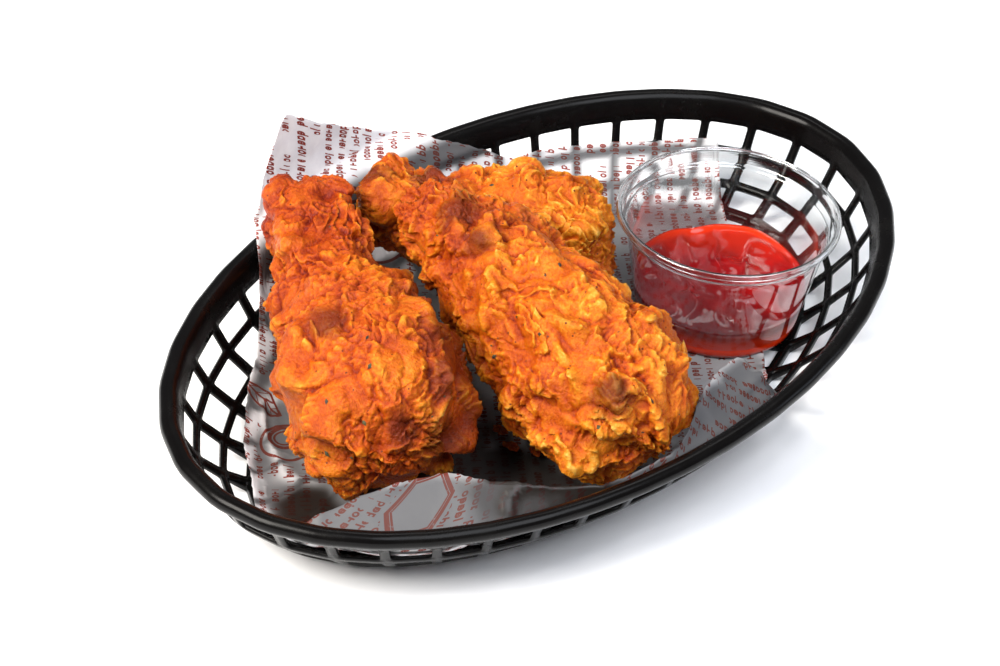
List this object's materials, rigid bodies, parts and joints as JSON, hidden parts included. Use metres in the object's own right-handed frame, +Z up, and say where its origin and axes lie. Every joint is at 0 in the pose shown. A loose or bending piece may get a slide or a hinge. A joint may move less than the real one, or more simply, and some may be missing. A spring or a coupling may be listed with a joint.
{
  "type": "fried chicken in a basket",
  "caption": "Fried chicken drumsticks on printed greaseproof paper in an oval open-weave plastic basket, with a clear cup of tomato dip.",
  "frame": {"origin": "centre of the basket's flat underside", "axes": "+X along the basket towards the dip cup, +Y to the side where the paper stands above the rim, +Z up"},
  "size_m": [0.238, 0.1492, 0.0593],
  "materials": {
    "basket_plastic": "semi-gloss black moulding",
    "liner_paper": "matt off-white",
    "crust": "rough golden crust",
    "clear_plastic": "clear",
    "dip": "wet gloss"
  },
  "bodies": {
    "root": {"basket": "basket_plastic", "paper_liner": "liner_paper", "drumstick_left": "crust", "drumstick_middle": "crust", "drumstick_back": "crust", "dip_cup": "clear_plastic", "tomato_dip": "dip"}
  },
  "joints": []
}
